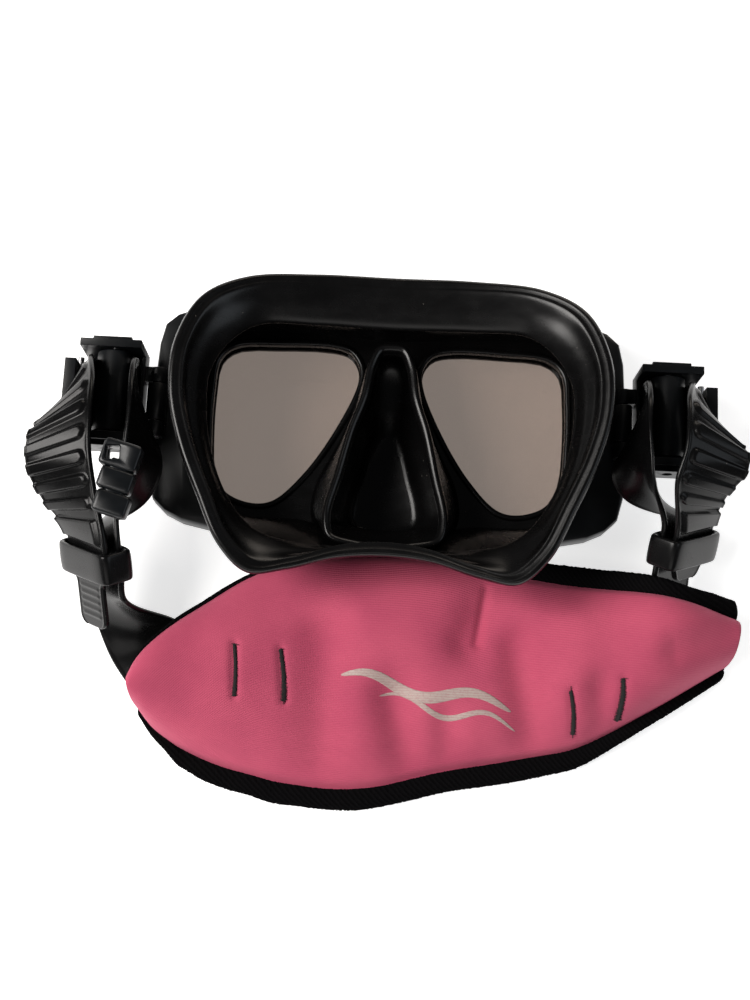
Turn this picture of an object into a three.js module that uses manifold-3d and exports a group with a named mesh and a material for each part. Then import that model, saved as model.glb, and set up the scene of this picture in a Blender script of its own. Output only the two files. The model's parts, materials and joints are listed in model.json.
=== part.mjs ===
// A two-lens diving mask with its strap, two swivelling strap buckles, a snorkel keeper and a
// neoprene strap cover, lying lens-down. Millimetres; +X to the wearer's right, +Y to the forehead,
// +Z towards the wearer's face. Z = 0 is the frame's flat front rim, which the mask rests on, and
// the origin is on that rim at the nose bridge. Sizes below are the driving dimensions.
import * as THREE from "three";
import { mergeVertices } from "three/addons/utils/BufferGeometryUtils.js";
import Module from "manifold-3d";

const wasm = await Module();
wasm.setup();

// ---------------------------------------------------------------- driving dimensions
const BRIDGE_Y = 26; // height of the nose bridge above the middle of the buckles
const GAP = 0.4; // clearance left between pieces that touch
const FRAME_DEPTH = 12;
const RECESS_Z = 7; // floor of the frame's recess for the skirt
const BEZEL = { low: 0.5, high: 2.9 };
const LENS = { low: 3.2, high: 6.7, lip: 2.5 };
const SKIRT = { sheet: 2, low: 7.1, rim: 47, wrap: 13, halfWidth: 76, flangeDrop: 8 };
const NOSE = { front: 1.5, crest: 35, wall: 2 };
const STRAP = { width: 26, thick: 2.2 };
const ROLLER = { out: 101, z: 27, radius: 6.4, length: 30, bore: 1.9 };
const BUCKLE = { half: 18.6, plate: 2.8, in: 90.8, out: 113, low: 13.2, high: 34 };
const HINGE = { out: 86.5, z: 17, knuckle: 3.6, pin: 1.5, lug: 7, reach: 13 };
const LEVER = { out: 115.2, z: 19, pin: 1.2, thick: 2.4, half: 11 };
const KEEPER = { length: 11, wall: 1.8, stack: 9.4, pitch: 2.7, straight: 9 };
const COVER = { panel: 3, lining: 1.5, edge: 1.7, between: 0.9, low: 6, rise: 4, crown: 8.5, hem: 3 };

const SIDES = [
  { name: "left", s: -1, keeper: [101, -62, 32], tail: 24 },
  { name: "right", s: 1, keeper: [108, -46, 22.5], tail: 11 },
];

// ---------------------------------------------------------------- materials
const finish = (color, roughness, metalness = 0) =>
  new THREE.MeshStandardMaterial({ color, roughness, metalness });
const blackPlastic = finish(0x14161a, 0.45);
const blackSilicone = finish(0x0e0e10, 0.3);
const tempered = finish(0xd8e2e0, 0.05);
const steel = finish(0x9a9ca0, 0.35, 1);
const pinkNeoprene = finish(0xd8558c, 0.9);
const blackNeoprene = finish(0x16161a, 0.95);
const thread = finish(0x0b0b0c, 0.8);

// ---------------------------------------------------------------- making solids
// The same geometry with only positions and shared vertices, turned so that its faces point out.
function facingOut(geometry) {
  const bare = new THREE.BufferGeometry();
  bare.setAttribute("position", geometry.getAttribute("position"));
  if (geometry.index) bare.setIndex(geometry.index);
  const shared = mergeVertices(bare, 1e-4);
  const at = (i) => new THREE.Vector3().fromBufferAttribute(shared.attributes.position, i);
  const index = Array.from(shared.index.array);
  let volume = 0;
  for (let i = 0; i < index.length; i += 3) {
    volume += at(index[i]).dot(at(index[i + 1]).cross(at(index[i + 2])));
  }
  shared.setIndex(volume < 0 ? index.reverse() : index);
  return shared;
}

function solid(geometry) {
  const shared = facingOut(geometry);
  return new wasm.Manifold(
    new wasm.Mesh({
      numProp: 3,
      vertProperties: new Float32Array(shared.attributes.position.array),
      triVerts: new Uint32Array(shared.index.array),
    }),
  );
}

function geometryOf(body) {
  const made = body.getMesh();
  const geometry = new THREE.BufferGeometry();
  geometry.setAttribute("position", new THREE.BufferAttribute(made.vertProperties, 3));
  geometry.setIndex(new THREE.BufferAttribute(made.triVerts, 1));
  return geometry;
}

const join = (...pieces) => pieces.reduce((a, b) => a.add(b));
const cut = (body, ...tools) => tools.reduce((a, b) => a.subtract(b), body);

const mask = new THREE.Group();

function addPiece(name, body, material) {
  const mesh = new THREE.Mesh(geometryOf(body), material);
  mesh.name = name;
  mesh.geometry.computeVertexNormals();
  mask.add(mesh);
}

// A cap over a ring, as a strip between its first half and its second half run backwards.
function capOf(start, size, backwards) {
  const faces = [];
  for (let i = 0; i < size / 2 - 1; i++) {
    const [a, b] = [start + i, start + i + 1];
    const [c, d] = [start + size - 2 - i, start + size - 1 - i];
    faces.push(...(backwards ? [a, c, b, a, d, c] : [a, b, c, a, c, d]));
  }
  return faces;
}

// A solid through closed rings of points, each with an even number of them. `around` joins the
// last ring to the first; otherwise the two ends are capped.
function loft(rings, around = false) {
  const size = rings[0].length;
  const points = rings.flat();
  const index = [];
  const bands = around ? rings.length : rings.length - 1;
  for (let r = 0; r < bands; r++) {
    const a = r * size;
    const b = ((r + 1) % rings.length) * size;
    for (let i = 0; i < size; i++) {
      const j = (i + 1) % size;
      index.push(a + i, a + j, b + j, a + i, b + j, b + i);
    }
  }
  if (!around) index.push(...capOf(0, size, true), ...capOf(points.length - size, size, false));
  const geometry = new THREE.BufferGeometry().setFromPoints(points);
  geometry.setIndex(index);
  return solid(geometry);
}

// A box from its centre and its lengths along the axes of `turn`.
function box(centre, size, turn = new THREE.Matrix4()) {
  const geometry = new THREE.BoxGeometry(...size);
  geometry.applyMatrix4(turn.clone().setPosition(new THREE.Vector3(...centre)));
  return solid(geometry);
}

// A round bar along Y.
function bar(x, z, radius, low, high, sides = 16) {
  const geometry = new THREE.CylinderGeometry(radius, radius, high - low, sides);
  geometry.translate(x, (low + high) / 2, z);
  return solid(geometry);
}

// Closed smooth outline through points given for x >= 0 and mirrored, as 2-D points.
function mirroredOutline(half, steps) {
  const right = half.map(([x, y]) => new THREE.Vector3(x, y, 0));
  const left = right
    .filter((p) => p.x > 0)
    .reverse()
    .map((p) => new THREE.Vector3(-p.x, p.y, 0));
  return outlineThrough([...right, ...left], steps);
}

function outlineThrough(points, steps) {
  const curve = new THREE.CatmullRomCurve3(points, true, "centripetal");
  return curve.getPoints(steps).slice(0, steps).map((p) => new THREE.Vector2(p.x, p.y));
}

// The outline moved outwards by a distance.
function grown(outline, distance) {
  const turn = THREE.ShapeUtils.isClockWise(outline) ? -1 : 1;
  return outline.map((p, i) => {
    const before = outline.at(i - 1);
    const after = outline[(i + 1) % outline.length];
    const along = after.clone().sub(before).normalize();
    return new THREE.Vector2(p.x + along.y * distance * turn, p.y - along.x * distance * turn);
  });
}

// A flat plate of the outline, with its front edge rounded by a bevel.
function plate(outline, low, high, bevel = 0) {
  const geometry = new THREE.ExtrudeGeometry(new THREE.Shape(outline), {
    depth: high - low - 2 * bevel,
    bevelEnabled: bevel > 0,
    bevelThickness: bevel,
    bevelSize: bevel,
    bevelOffset: -bevel,
    bevelSegments: 2,
  });
  geometry.translate(0, 0, low + bevel);
  return solid(geometry);
}

// ---------------------------------------------------------------- outlines, right half
// The lens as seen through the skirt: an inverted teardrop, wide at the brow.
const LENS_OPENING = [
  [22, 27], [42, 27], [59, 25.5], [64.5, 20.5], [66, 8], [66, -8], [64.5, -22], [59, -31],
  [49, -34.5], [41.5, -33], [31, -22.5], [20.5, -6], [12.6, 12], [12, 19.5], [15.5, 25],
];
const FRAME_OUTLINE = [
  [0, 36], [30, 38], [60, 40], [77, 39], [86, 33], [88, 18], [88.5, 0], [88.5, -20], [86, -35],
  [77, -41.5], [60, -45], [44, -46], [35.5, -40], [26, -25], [14.5, -8.6], [8, 2], [0, 5],
];
// The three outlines of the skirt have matching points, from the brow round to the upper lip.
const SKIRT_BASE = [
  [0, 33], [28, 34], [52, 34], [68, 30], [75, 15], [76, -5], [74, -22], [66, -35], [55, -40.5],
  [45, -41.5], [32, -42], [16, -46], [0, -47],
];
const SKIRT_EDGE = [
  [0, 42], [28, 41.5], [52, 38], [67, 29], [75, 12], [76, -6], [72, -23], [64, -42], [56, -58],
  [46, -66.5], [33, -64.5], [16, -59.5], [0, -58],
];
const FLANGE_EDGE = [
  [0, 25], [27, 25], [48, 23], [58, 15], [63.5, 4], [64, -8], [62, -22], [57, -36], [50.5, -46],
  [43, -51.5], [32, -54], [16, -54.5], [0, -54],
];
const NOSE_CREST = [[0, 22], [5, 21], [8.5, 14], [10.5, 2], [14.5, -10], [18.5, -27], [22, -43],
  [20, -51], [10, -54], [0, -54.5]];
const NOSE_ROOT = [[0, 23], [7, 20], [11, 10], [14, -2], [18, -12], [25, -27], [26, -38],
  [22, -44], [10, -46], [0, -46.5]];
const NOSE_FRONT = [[0, -1], [4, -3], [7, -8], [9, -14], [11, -22], [13.5, -31], [14, -38],
  [12, -42], [6, -44], [0, -44.5]];

const STEPS = 56;
const lensOutline = (s) =>
  outlineThrough(LENS_OPENING.map(([x, y]) => new THREE.Vector3(s * x, y, 0)), 40);

// ---------------------------------------------------------------- frame, lenses and bezels
// The rigid frame: a rim with two lens apertures, a recess for the skirt, a notch for the nose
// and, at each side, a lug that the buckle swivels on.
function frame() {
  const base = mirroredOutline(SKIRT_BASE, STEPS);
  let body = plate(mirroredOutline(FRAME_OUTLINE, STEPS), 0, FRAME_DEPTH, 1.5);
  body = cut(body, plate(grown(base, GAP), RECESS_Z, FRAME_DEPTH + 1));
  for (const { s } of SIDES) {
    body = cut(body, plate(grown(lensOutline(s), LENS.lip + GAP), -1, FRAME_DEPTH));
    const lug = join(
      bar(s * HINGE.out, HINGE.z, HINGE.knuckle, -HINGE.lug, HINGE.lug),
      box([s * (HINGE.out - 1.1), 0, HINGE.z - 4.5], [5, 2 * HINGE.lug, 9]),
    );
    const hole = bar(s * HINGE.out, HINGE.z, HINGE.pin + GAP, -20, 20);
    body = cut(join(body, lug), hole);
  }
  addPiece("frame", cut(body, noseSolid(GAP)), blackPlastic);
}

function lensesAndBezels() {
  for (const { name, s } of SIDES) {
    const opening = lensOutline(s);
    const seat = grown(opening, LENS.lip);
    addPiece("lens_" + name, plate(seat, LENS.low, LENS.high), tempered);
    const ring = cut(plate(seat, BEZEL.low, BEZEL.high), plate(grown(opening, -0.5), -1, 4));
    addPiece("lens_bezel_" + name, ring, blackPlastic);
  }
}

// ---------------------------------------------------------------- skirt
// The nose pocket's outside, made larger by a margin.
function noseSolid(margin) {
  const swell = (half, z) =>
    grown(mirroredOutline(half, 40), margin).map((p) => new THREE.Vector3(p.x, p.y, z));
  return loft([
    swell(NOSE_FRONT, NOSE.front - margin),
    swell(NOSE_ROOT, SKIRT.low),
    swell(NOSE_CREST, NOSE.crest),
  ]);
}

// The face's curve: the sealing edge reaches further back at the temples than at the nose.
const faceZ = (x) => SKIRT.rim + SKIRT.wrap * (x / SKIRT.halfWidth) ** 2;

// One section of the skirt's wall and its sealing flange, from matching points of the outlines.
function skirtSection(base, edge, inner, middle) {
  const inward = (p, d) => p.clone().add(middle.clone().sub(p).normalize().multiplyScalar(d));
  const at = (p, z) => new THREE.Vector3(p.x, p.y, z);
  const top = faceZ(edge.x);
  const lip = faceZ(inner.x) - SKIRT.flangeDrop;
  const half = base.clone().lerp(edge, 0.25);
  const high = base.clone().lerp(edge, 0.75);
  const face = edge.clone().lerp(inner, 0.35);
  const t = SKIRT.sheet;
  return [
    at(base, SKIRT.low),
    at(base, FRAME_DEPTH + GAP),
    at(half, top * 0.45),
    at(high, top * 0.75),
    at(edge, top - 2),
    at(inward(edge, 1.5), top),
    at(face, top - 1),
    at(inner, lip),
    at(inward(inner, -1.2), lip - 1.4),
    at(face, top - 1 - t),
    at(inward(edge, 2 * t), top - 2 * t),
    at(inward(high, t), top * 0.72),
    at(inward(half, t), top * 0.45),
    at(inward(base, t), FRAME_DEPTH),
    at(inward(base, t), SKIRT.low),
  ];
}

function skirt() {
  const [base, edge, inner] = [SKIRT_BASE, SKIRT_EDGE, FLANGE_EDGE].map((half) =>
    mirroredOutline(half, STEPS),
  );
  const middle = new THREE.Vector2(0, -6);
  const wall = loft(
    base.map((p, i) => skirtSection(p, edge[i], inner[i], middle)),
    true,
  );
  let body = join(wall, plate(base, SKIRT.low, SKIRT.low + SKIRT.sheet), noseSolid(0));
  for (const { s } of SIDES) {
    body = cut(body, plate(lensOutline(s), 0, 20));
  }
  const hollow = (half, z) =>
    grown(mirroredOutline(half, 40), -NOSE.wall).map((p) => new THREE.Vector3(p.x, p.y, z));
  const nose = loft([
    hollow(NOSE_FRONT, NOSE.front + NOSE.wall),
    hollow(NOSE_ROOT, SKIRT.low + 8),
    hollow(NOSE_CREST, NOSE.crest + 1),
  ]);
  addPiece("skirt", cut(body, nose), blackSilicone);
}

// ---------------------------------------------------------------- buckles
// Everything on one buckle is placed by its distance outwards from the mask's middle.
function buckle({ name, s }) {
  const { half, plate: thick, low, high } = BUCKLE;
  const deep = high - low;
  const wide = BUCKLE.out - BUCKLE.in;
  const middle = s * (BUCKLE.in + BUCKLE.out) / 2;
  const cheeks = [-1, 1].map((side) =>
    box([middle, side * (half - thick / 2), (low + high) / 2], [wide, thick, deep]),
  );
  const floor = box([middle, 0, low + 1], [wide, 2 * half, 2]);
  const wall = box([s * (BUCKLE.in + 0.6), 0, low + 4.5], [1.2, 2 * half, 9]);
  const pads = [-1, 1].map((side) =>
    box([middle, side * (half + 0.8), high - 6], [14, 2, 7]),
  );
  const knuckles = [-1, 1].map((side) => {
    const ends = [side * (HINGE.lug + GAP), side * HINGE.reach].sort((a, b) => a - b);
    const barrel = bar(s * HINGE.out, HINGE.z, HINGE.knuckle, ...ends);
    const web = box(
      [s * (HINGE.out + 2.8), (ends[0] + ends[1]) / 2, HINGE.z],
      [5.2, ends[1] - ends[0], 2 * HINGE.knuckle - 1],
    );
    return join(barrel, web);
  });
  const body = cut(
    join(floor, wall, ...cheeks, ...pads, ...knuckles),
    bar(s * HINGE.out, HINGE.z, HINGE.pin + GAP, -HINGE.reach - 1, HINGE.reach + 1),
    bar(s * ROLLER.out, ROLLER.z, ROLLER.bore, -half - 3, half + 3),
    bar(s * LEVER.out, LEVER.z, LEVER.pin + GAP, -half - 1, half + 1),
  );
  addPiece("buckle_" + name, body, blackPlastic);
  addPiece("hinge_pin_" + name, bar(s * HINGE.out, HINGE.z, HINGE.pin, -12.8, 12.8), steel);
  rollerAndLever(name, s);
}

// The drum that the strap turns round, its axle, and the spring lever that bites on the ribs.
function rollerAndLever(name, s) {
  const end = ROLLER.length / 2;
  const drum = cut(
    bar(s * ROLLER.out, ROLLER.z, ROLLER.radius, -end, end, 24),
    bar(s * ROLLER.out, ROLLER.z, ROLLER.bore, -end - 1, end + 1),
  );
  addPiece("roller_" + name, drum, blackPlastic);
  const axle = bar(s * ROLLER.out, ROLLER.z, ROLLER.bore - GAP, -BUCKLE.half, BUCKLE.half);
  addPiece("roller_axle_" + name, axle, steel);
  const blade = box([s * LEVER.out, 0, LEVER.z + 7], [LEVER.thick, 2 * LEVER.half, 14]);
  const grip = box([s * (LEVER.out + 0.8), 0, LEVER.z + 13], [4, 2 * LEVER.half, 3]);
  const boss = bar(s * LEVER.out, LEVER.z, LEVER.pin + 1.6, -LEVER.half, LEVER.half);
  const coilGap = box([s * LEVER.out, 0, LEVER.z], [8, 6, 6.4]);
  const eye = bar(s * LEVER.out, LEVER.z, LEVER.pin + GAP, -20, 20);
  addPiece("lock_lever_" + name, cut(join(blade, grip, boss), coilGap, eye), blackPlastic);
  const pinEnd = BUCKLE.half - BUCKLE.plate - GAP;
  addPiece("lever_pin_" + name, bar(s * LEVER.out, LEVER.z, LEVER.pin, -pinEnd, pinEnd), steel);
  const spring = cut(
    bar(s * LEVER.out, LEVER.z, LEVER.pin + 1.2, -2.5, 2.5),
    bar(s * LEVER.out, LEVER.z, LEVER.pin + GAP, -3, 3),
  );
  addPiece("lever_spring_" + name, spring, steel);
}

// ---------------------------------------------------------------- strap
// A station of the strap: the point on its forehead-side edge and the direction across it.
const station = (edge, across, width = STRAP.width) => ({
  edge: new THREE.Vector3(...edge),
  across: new THREE.Vector3(...across).normalize(),
  width,
});

// The keeper's place: `along` is the strap's run through it, `across` its width, `out` its depth.
function keeperAxes(place) {
  const along = new THREE.Vector3(-0.1, -0.88, -0.46).normalize();
  const lean = new THREE.Vector3(0.55, -0.1, -0.8);
  const across = lean.addScaledVector(along, -lean.dot(along)).normalize();
  return { centre: new THREE.Vector3(...place), along, across, out: along.clone().cross(across) };
}

// The strap's straight stretch through the keeper, `side` 1 for the outer run and -1 for the inner.
function inKeeper(axes, side, distance) {
  const edge = axes.centre
    .clone()
    .addScaledVector(axes.out, side * KEEPER.pitch)
    .addScaledVector(axes.across, -STRAP.width / 2)
    .addScaledVector(axes.along, distance);
  return { edge, across: axes.across.clone(), width: STRAP.width };
}

// The tail run fans outwards and the inner run stands on its edge between roller and keeper.
// Each row: distance outwards, share of the way to the keeper, height, and direction across.
const TAIL_RUN = [
  [107.5, 0.03, 38, [0.3, -0.95, 0]],
  [104, 0.19, 48, [0.7, -0.65, -0.25]],
  [103, 0.38, 52, [0.87, -0.42, -0.25]],
  [102, 0.6, 52.5, [0.9, -0.2, -0.35]],
  [99.5, 0.82, 49.5, [0.82, -0.02, -0.57]],
];
const INNER_RUN = [
  [92.5, 0.03, 37, [-0.08, -0.98, -0.12]],
  [92, 0.19, 44.5, [-0.36, -0.82, -0.42]],
  [91.5, 0.38, 47.5, [-0.42, -0.66, -0.62]],
  [92, 0.6, 47.5, [-0.22, -0.5, -0.84]],
  [93, 0.82, 45, [0.25, -0.2, -0.94]],
];

function strapEndStations(place, tail) {
  const axes = keeperAxes(place);
  const top = STRAP.width / 2;
  const reach = place[1] + KEEPER.straight - top;
  const fromRow = ([out, share, z, across]) => station([out, top + share * reach, z], across);
  const wrap = [];
  const radius = ROLLER.radius + GAP + STRAP.thick / 2;
  for (let turn = 0; turn <= 8; turn++) {
    const angle = (Math.PI * turn) / 8;
    const out = ROLLER.out + radius * Math.cos(angle);
    wrap.push(station([out, top, ROLLER.z - radius * Math.sin(angle)], [0, -1, 0]));
  }
  return [
    ...[tail, 9, -9].map((distance) => inKeeper(axes, 1, distance)),
    ...TAIL_RUN.map(fromRow).reverse(),
    ...wrap,
    ...INNER_RUN.map(fromRow),
    ...[-9, 9, 26].map((distance) => inKeeper(axes, -1, distance)),
  ];
}

// Where along a curve the band starts and ends: at its ends, or where it crosses a given Y.
function bandEnds(curve, flatStart, flatEnd) {
  const fine = 400;
  const ys = Array.from({ length: fine + 1 }, (_, i) => curve.getPoint(i / fine).y);
  const beyond = (plane, from) => (y) => y > plane !== from > plane;
  const start = flatStart === null ? 0 : ys.findIndex(beyond(flatStart, ys[0])) / fine;
  const end = flatEnd === null ? 1 : ys.findLastIndex(beyond(flatEnd, ys.at(-1))) / fine;
  return [start, end];
}

// Shares of the curve's length from 0 to 1, drawn in to new ends within a quarter of each end.
const stretched = (t, [start, end]) =>
  t + start * Math.max(0, 1 - 4 * t) - (1 - end) * Math.max(0, 4 * t - 3);

// A band of the strap's thickness along the stations, mirrored to the side `s`. Where a height
// along Y is given for an end, that end is cut square to Y there.
function band(stations, s, steps, flatStart, flatEnd) {
  const place = (v) => new THREE.Vector3(s * v.x, v.y, v.z);
  const edges = new THREE.CatmullRomCurve3(stations.map((p) => place(p.edge)));
  const others = new THREE.CatmullRomCurve3(
    stations.map((p) => place(p.edge.clone().addScaledVector(p.across, p.width))),
  );
  const edgeEnds = bandEnds(edges, flatStart, flatEnd);
  const otherEnds = bandEnds(others, flatStart, flatEnd);
  const rings = [];
  for (let i = 0; i <= steps; i++) {
    const onEdge = stretched(i / steps, edgeEnds);
    const onOther = stretched(i / steps, otherEnds);
    const [a, b] = [edges.getPoint(onEdge), others.getPoint(onOther)];
    const along = edges.getTangent(onEdge).add(others.getTangent(onOther)).normalize();
    const across = b.clone().sub(a).normalize();
    const out = along.cross(across).normalize().multiplyScalar(STRAP.thick / 2);
    rings.push([a.clone().add(out), b.clone().add(out), b.clone().sub(out), a.clone().sub(out)]);
  }
  for (const [ring, plane] of [
    [rings[0], flatStart],
    [rings.at(-1), flatEnd],
  ]) {
    if (plane !== null) ring.forEach((p) => p.setY(plane));
  }
  return loft(rings);
}

const SPLIT = 13; // from the keeper's middle to the line where the moving end meets the middle
const splitY = (place) => place[1] - SPLIT;

// The strap's middle: from each keeper down under the cover and across behind the head.
function middleStations() {
  const [left, right] = SIDES.map(({ keeper, s }) => {
    const axes = keeperAxes(keeper);
    return [2, 16].map((distance) => {
      const p = inKeeper(axes, -1, distance);
      return { edge: p.edge.setX(s * p.edge.x), across: p.across.setX(s * p.across.x), width: p.width };
    });
  });
  return [
    ...left,
    station([-75, -79, 12], [-0.72, -0.6, -0.25], 28),
    station([-66, -82, 5.5], [-0.3, -0.93, -0.04], 34),
    station([-48, -79, 4.5], [0, -1, 0], 38),
    station([0, -77, 4.5], [0, -1, 0], 42),
    station([50, -74, 4.5], [0, -1, 0], 36),
    station([80, -71, 4.8], [0.12, -1, -0.02], 31),
    station([93, -68, 8], [0.5, -0.85, -0.12], 28),
    ...right.reverse(),
  ];
}

function straps() {
  for (const { name, s, keeper, tail } of SIDES) {
    const end = band(strapEndStations(keeper, tail), s, 64, null, splitY(keeper) + 0.3);
    addPiece("strap_end_" + name, end, blackSilicone);
  }
  const [start, end] = SIDES.map(({ keeper }) => splitY(keeper) - 0.3);
  addPiece("strap_middle", band(middleStations(), 1, 48, start, end), blackSilicone);
}

// ---------------------------------------------------------------- keepers
// The loop that holds both runs of the strap together.
function keeper({ name, s, keeper: place }) {
  const { centre, along, across, out } = keeperAxes(place);
  const flip = (v) => new THREE.Vector3(s * v.x, v.y, v.z);
  const turn = new THREE.Matrix4().makeBasis(flip(across), flip(out), flip(along));
  const inside = [STRAP.width + 2.4, KEEPER.stack, KEEPER.length + 2];
  const outside = [inside[0] + 2 * KEEPER.wall, KEEPER.stack + 2 * KEEPER.wall, KEEPER.length];
  const at = flip(centre).toArray();
  addPiece("keeper_" + name, cut(box(at, outside, turn), box(at, inside, turn)), blackSilicone);
}

// The snorkel keeper: three tilted, stepped blocks on short necks, the first with a square eye,
// straddling the strap.
const SNORKEL = {
  blocks: [
    { at: [-90.8, -29.8, 55], size: [13.5, 9.6, 6] },
    { at: [-91.8, -38.6, 55], size: [12, 7.6, 6] },
    { at: [-92.8, -46.6, 54.5], size: [12, 7.8, 6] },
  ],
  neck: [6.5, 6, 4.6],
  eye: { at: [-93.5, -29, 55], size: [4.6, 4.6, 12] },
  tilt: -15,
};

function snorkelKeeper() {
  const { blocks, neck, eye, tilt } = SNORKEL;
  const turn = new THREE.Matrix4().makeRotationZ(THREE.MathUtils.degToRad(tilt));
  const necks = blocks.slice(1).map(({ at }, i) => {
    const middle = at.map((value, axis) => (value + blocks[i].at[axis]) / 2);
    return box(middle, neck, turn);
  });
  const legs = [-1, 1].map((side) =>
    box([-92.3 + side * 4.2, -34, 51.2], [1.6, 16, 5]),
  );
  const parts = [...blocks.map(({ at, size }) => box(at, size, turn)), ...necks, ...legs];
  addPiece("snorkel_keeper", cut(join(...parts), box(eye.at, eye.size)), blackPlastic);
}

// ---------------------------------------------------------------- strap cover
const COVER_TOP = [
  [-88, -100.5], [-84.5, -93.5], [-76, -84], [-64, -74], [-46, -61.5], [-24, -54.8], [0, -52.6],
  [26, -54], [52, -58.4], [80, -62], [108, -66], [129, -71],
];
const COVER_BOTTOM = [
  [-86, -111.5], [-80, -118.5], [-70, -125], [-58, -130], [-42, -134], [-22, -137], [0, -136],
  [24, -129.5], [48, -124.5], [72, -119], [98, -105], [127, -87],
];
const coverTop = new THREE.SplineCurve(COVER_TOP.map(([x, y]) => new THREE.Vector2(x, y)));
const coverBottom = new THREE.SplineCurve(COVER_BOTTOM.map(([x, y]) => new THREE.Vector2(x, y)));

// The strap lifts the cover where it comes in under each end.
const STRAP_LIFTS = [
  { x: -84, height: 9, reach: 17 },
  { x: 101, height: 16, reach: 23 },
];
const COVER_STEPS = 30;

// Height of the lining's underside at x: v runs from -1 at the lower edge to 1 at the upper.
function coverZ(x, v) {
  const within = Math.max(v, -1);
  const crown = COVER.crown * (1 - within * within);
  const lift = STRAP_LIFTS.reduce(
    (sum, at) => sum + at.height * Math.exp(-(((x - at.x) / at.reach) ** 2)),
    0,
  );
  return COVER.low + COVER.rise * within + crown + lift * (0.65 + 0.35 * within);
}

// A sheet on the cover's crown, `lift` above it; `hem` carries it flat past the lower edge.
function coverSheet(lift, thick, hem) {
  const rings = [];
  for (let i = 0; i <= COVER_STEPS; i++) {
    const top = coverTop.getPoint(i / COVER_STEPS);
    const bottom = coverBottom.getPoint(i / COVER_STEPS);
    const rows = [-1, -0.7, -0.3, 0.1, 0.5, 0.8, 1];
    if (hem) rows.unshift(-1 - (2 * hem) / (top.y - bottom.y));
    const upper = rows.map((v) => {
      const p = bottom.clone().lerp(top, (v + 1) / 2);
      return new THREE.Vector3(p.x, p.y, coverZ(p.x, v) + lift + thick);
    });
    const lower = upper.map((p) => new THREE.Vector3(p.x, p.y, p.z - thick)).reverse();
    rings.push([...upper, ...lower]);
  }
  return loft(rings);
}

// The black edging: a cord along the upper edge (side 1) or the lower one (side -1).
function coverEdging(curve, side) {
  const rings = [];
  const away = COVER.edge + GAP + (side < 0 ? COVER.hem : 0);
  for (let i = 0; i <= COVER_STEPS; i++) {
    const p = curve.getPoint(i / COVER_STEPS);
    const z = coverZ(p.x, side) + (side > 0 ? 2 : 0);
    const ring = [];
    for (let k = 0; k < 8; k++) {
      const angle = (k * Math.PI) / 4;
      const y = p.y + side * away + COVER.edge * Math.cos(angle);
      ring.push(new THREE.Vector3(p.x, y, z + COVER.edge * Math.sin(angle)));
    }
    rings.push(ring);
  }
  return loft(rings);
}

// Two elastic loops behind the cover hold it on the strap; each is tacked by two stitch lines.
const LOOPS = [
  { name: "left", x: -43, y: -98, length: 41 },
  { name: "right", x: 77, y: -87.5, length: 37 },
];

function strapLoop({ name, x, y, length }) {
  const outside = box([x, y, 4.6], [14, length + 2, 5.6]);
  const inside = box([x, y, 4.6], [16, length, 3.8]);
  addPiece("strap_loop_" + name, cut(outside, inside), blackNeoprene);
}

function stitch(name, x, y) {
  const top = coverTop.getPoint((x + 88) / 217);
  const bottom = coverBottom.getPoint((x + 85) / 212);
  const v = (2 * (y - bottom.y)) / (top.y - bottom.y) - 1;
  const z = coverZ(x, v) + COVER.lining + COVER.between + COVER.panel + 1.2;
  addPiece("stitch_" + name, box([x, y, z], [0.9, 17, 0.9]), thread);
}

function strapCover() {
  addPiece("cover_lining", coverSheet(0, COVER.lining, COVER.hem), blackNeoprene);
  addPiece("cover_panel", coverSheet(COVER.lining + COVER.between, COVER.panel, 0), pinkNeoprene);
  addPiece("cover_edging_top", coverEdging(coverTop, 1), blackNeoprene);
  addPiece("cover_edging_bottom", coverEdging(coverBottom, -1), blackNeoprene);
  for (const loop of LOOPS) {
    strapLoop(loop);
    stitch(loop.name + "_outer", loop.x - 8, loop.y + 1);
    stitch(loop.name + "_inner", loop.x + 8, loop.y);
  }
}

frame();
lensesAndBezels();
skirt();
SIDES.forEach(buckle);
straps();
SIDES.forEach(keeper);
snorkelKeeper();
strapCover();

mask.position.y = -BRIDGE_Y;

export default mask;
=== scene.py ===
"""A two-lens diving mask with its strap, buckles and neoprene strap cover, lying lens-down.

Shapes are drawn in millimetres, +X to the wearer's right, +Y to the forehead and +Z to the face, from
the nose bridge on the frame's front rim. metres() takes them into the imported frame.
"""

import json
import math

import bmesh
import bpy
import numpy as np
from mathutils import Matrix, Vector


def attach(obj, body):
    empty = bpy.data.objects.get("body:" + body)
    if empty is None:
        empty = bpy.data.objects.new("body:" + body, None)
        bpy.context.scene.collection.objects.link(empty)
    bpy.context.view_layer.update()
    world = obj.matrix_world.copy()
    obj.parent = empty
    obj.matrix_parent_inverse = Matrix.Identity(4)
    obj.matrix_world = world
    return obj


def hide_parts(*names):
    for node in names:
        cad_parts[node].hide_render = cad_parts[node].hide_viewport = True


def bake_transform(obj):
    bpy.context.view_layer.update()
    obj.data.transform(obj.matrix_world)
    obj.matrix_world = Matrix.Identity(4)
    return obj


MM = 0.001
BRIDGE_Y = 26.0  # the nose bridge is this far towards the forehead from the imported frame's origin

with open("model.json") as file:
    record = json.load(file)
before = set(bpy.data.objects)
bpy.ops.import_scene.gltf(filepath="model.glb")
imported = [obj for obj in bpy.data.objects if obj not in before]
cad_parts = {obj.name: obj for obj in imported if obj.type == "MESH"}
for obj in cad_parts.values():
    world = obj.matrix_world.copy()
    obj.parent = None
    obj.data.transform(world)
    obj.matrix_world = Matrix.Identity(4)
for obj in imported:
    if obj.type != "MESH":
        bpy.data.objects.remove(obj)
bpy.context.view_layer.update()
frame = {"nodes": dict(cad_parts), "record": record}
scene = bpy.context.scene
rng = np.random.default_rng(7)


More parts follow.
